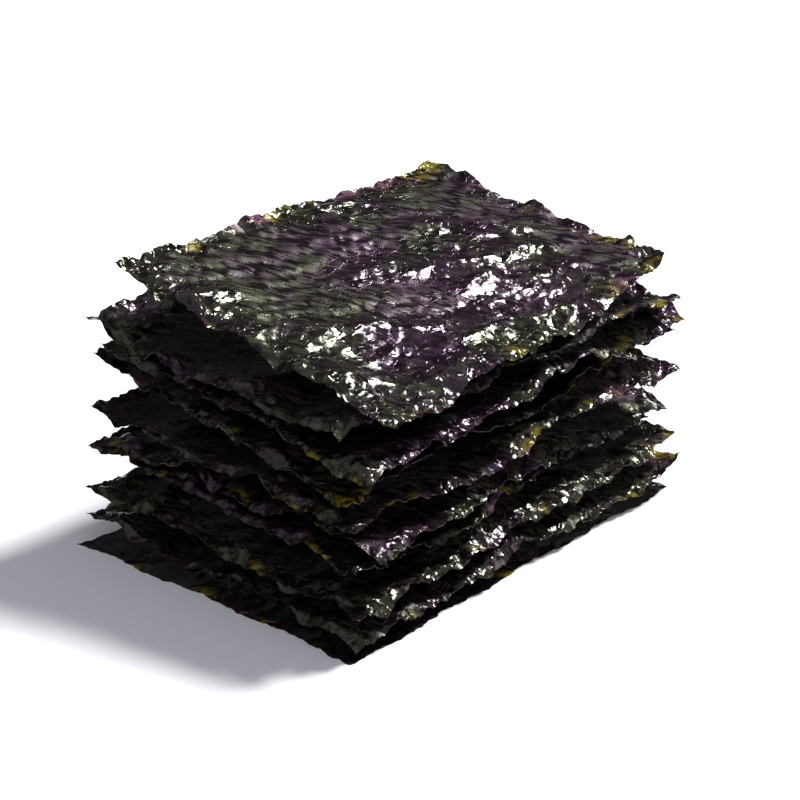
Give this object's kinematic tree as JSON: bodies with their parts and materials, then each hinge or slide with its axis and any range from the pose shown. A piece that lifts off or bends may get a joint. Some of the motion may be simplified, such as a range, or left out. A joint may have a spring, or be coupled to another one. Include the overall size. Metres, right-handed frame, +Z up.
{
  "type": "stack of dried laver sheets",
  "caption": "Squared-up stack of thin, crinkled, glossy sheets of dried purple laver, each a small cut rectangle with wavy edges, lying flat and ready to be picked up sheet by sheet.",
  "frame": {"origin": "on the surface that the stack lies on, under the middle of its bounding box", "axes": "+X along the long cut edges, +Y along the short ones, +Z up through the stack"},
  "size_m": [0.1018, 0.075, 0.0582],
  "materials": {
    "dried_laver": "thin dried seaweed film, near-black purple with olive edges, crinkled and glossy"
  },
  "bodies": {
    "root": {"sheet_01": "dried_laver", "sheet_02": "dried_laver", "sheet_03": "dried_laver", "sheet_04": "dried_laver", "sheet_05": "dried_laver", "sheet_06": "dried_laver", "sheet_07": "dried_laver", "sheet_08": "dried_laver", "sheet_09": "dried_laver", "sheet_10": "dried_laver"}
  },
  "joints": []
}
